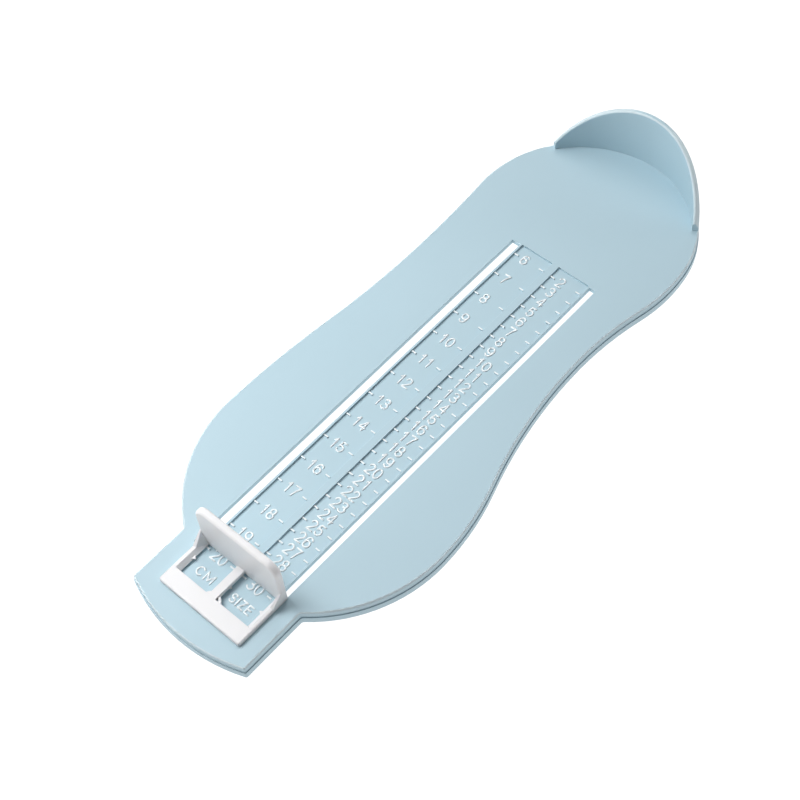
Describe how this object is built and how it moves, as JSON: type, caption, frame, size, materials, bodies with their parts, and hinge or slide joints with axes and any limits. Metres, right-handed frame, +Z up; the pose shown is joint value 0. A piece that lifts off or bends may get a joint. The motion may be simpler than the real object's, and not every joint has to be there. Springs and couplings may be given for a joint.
{
  "type": "foot measuring gauge",
  "caption": "Child's foot measuring gauge: sole-shaped plastic tray with a raised heel cup, sunken centimetre and size scales, and a toe slider with reading windows.",
  "frame": {"origin": "middle of the bounding box's underside, on the surface the skirt stands on", "axes": "+Z up, +Y from the toe tab towards the heel cup, +X towards the size column"},
  "size_m": [0.0866, 0.2248, 0.0259],
  "materials": {
    "blue_plastic": "satin",
    "white_plastic": "semi-gloss"
  },
  "bodies": {
    "tray": {"sole_tray": "blue_plastic"},
    "slider": {"toe_slider": "white_plastic"}
  },
  "joints": [
    {"name": "toe_slide", "type": "slide", "parent": "tray", "child": "slider", "axis": [0, 1, 0], "range_m": [-0.001, 0.14]}
  ]
}
